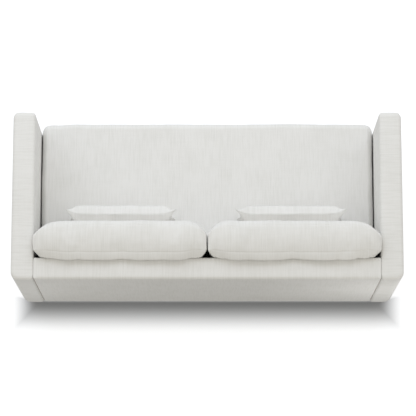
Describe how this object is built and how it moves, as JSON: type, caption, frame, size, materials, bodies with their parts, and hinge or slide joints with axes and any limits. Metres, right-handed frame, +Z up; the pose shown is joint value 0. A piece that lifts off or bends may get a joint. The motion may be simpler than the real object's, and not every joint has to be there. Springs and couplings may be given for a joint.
{
  "type": "three-seater sofa",
  "caption": "Three-seater sofa with box arms level with its back, a bench seat cushion, loose back cushions and lumbar pillows in off-white linen weave.",
  "frame": {"origin": "on the floor under the middle of the sofa's box", "axes": "+X to the right seen from the front, the front faces -Y, +Z up"},
  "size_m": [2.1, 0.945, 0.8898],
  "materials": {
    "upholstery": "off-white slubbed linen weave",
    "seat_foam": "open-cell foam in a fibre wrap",
    "fibre_fill": "blown fibre in a lining",
    "padding": "foam sheet",
    "webbing": "woven elastic strap",
    "dust_cloth": "spun-bonded cloth",
    "frame_wood": "planed hardwood",
    "hardboard": "pressed fibre board",
    "foot_wood": "dark stained wood, satin lacquer",
    "steel": "zinc plated",
    "glide": "moulded nylon"
  },
  "bodies": {
    "frame": {"back_bottom_rail": "frame_wood", "back_cover": "upholstery", "back_padding": "padding", "back_panel": "hardboard", "back_stiles": "frame_wood", "back_tack_rail": "frame_wood", "back_top_rail": "frame_wood", "back_webbing": "webbing", "centre_feet": "foot_wood", "corner_blocks": "frame_wood", "cross_rails": "frame_wood", "deck_pad": "padding", "dust_cover": "dust_cloth", "foot_bolts": "steel", "foot_glides": "glide", "frame_bolts": "steel", "front_border_cover": "upholstery", "front_border_padding": "padding", "front_left_foot": "foot_wood", "front_rail": "frame_wood", "front_right_foot": "foot_wood", "insert_nuts": "steel", "left_arm_bottom_rail": "frame_wood", "left_arm_cover": "upholstery", "left_arm_front_post": "frame_wood", "left_arm_middle_rail": "frame_wood", "left_arm_padding": "padding", "left_arm_panels": "hardboard", "left_arm_rear_post": "frame_wood", "left_arm_top_rail": "frame_wood", "left_side_rail": "frame_wood", "rear_left_foot": "foot_wood", "rear_rail": "frame_wood", "rear_right_foot": "foot_wood", "right_arm_bottom_rail": "frame_wood", "right_arm_cover": "upholstery", "right_arm_front_post": "frame_wood", "right_arm_middle_rail": "frame_wood", "right_arm_padding": "padding", "right_arm_panels": "hardboard", "right_arm_rear_post": "frame_wood", "right_arm_top_rail": "frame_wood", "right_side_rail": "frame_wood", "seat_webbing_crosswise": "webbing", "seat_webbing_lengthwise": "webbing"},
    "seat_cushion": {"seat_cushion_core": "seat_foam", "seat_cushion_cover": "upholstery"},
    "left_back_cushion": {"left_back_cushion_cover": "upholstery", "left_back_cushion_fill": "fibre_fill"},
    "right_back_cushion": {"right_back_cushion_cover": "upholstery", "right_back_cushion_fill": "fibre_fill"},
    "left_lumbar_pillow": {"left_lumbar_pillow_cover": "upholstery", "left_lumbar_pillow_fill": "fibre_fill"},
    "right_lumbar_pillow": {"right_lumbar_pillow_cover": "upholstery", "right_lumbar_pillow_fill": "fibre_fill"}
  },
  "joints": [
    {"name": "seat_cushion_slide", "type": "slide", "parent": "frame", "child": "seat_cushion", "axis": [0, -1, 0], "range_m": [0, 0.85]},
    {"name": "left_back_cushion_lift", "type": "slide", "parent": "frame", "child": "left_back_cushion", "axis": [0, 0.1045, 0.9945], "range_m": [0, 0.5]},
    {"name": "right_back_cushion_lift", "type": "slide", "parent": "frame", "child": "right_back_cushion", "axis": [0, 0.1045, 0.9945], "range_m": [0, 0.5]},
    {"name": "left_lumbar_pillow_lift", "type": "slide", "parent": "frame", "child": "left_lumbar_pillow", "axis": [0, 0.1045, 0.9945], "range_m": [0, 0.5]},
    {"name": "right_lumbar_pillow_lift", "type": "slide", "parent": "frame", "child": "right_lumbar_pillow", "axis": [0, 0.1045, 0.9945], "range_m": [0, 0.5]}
  ]
}
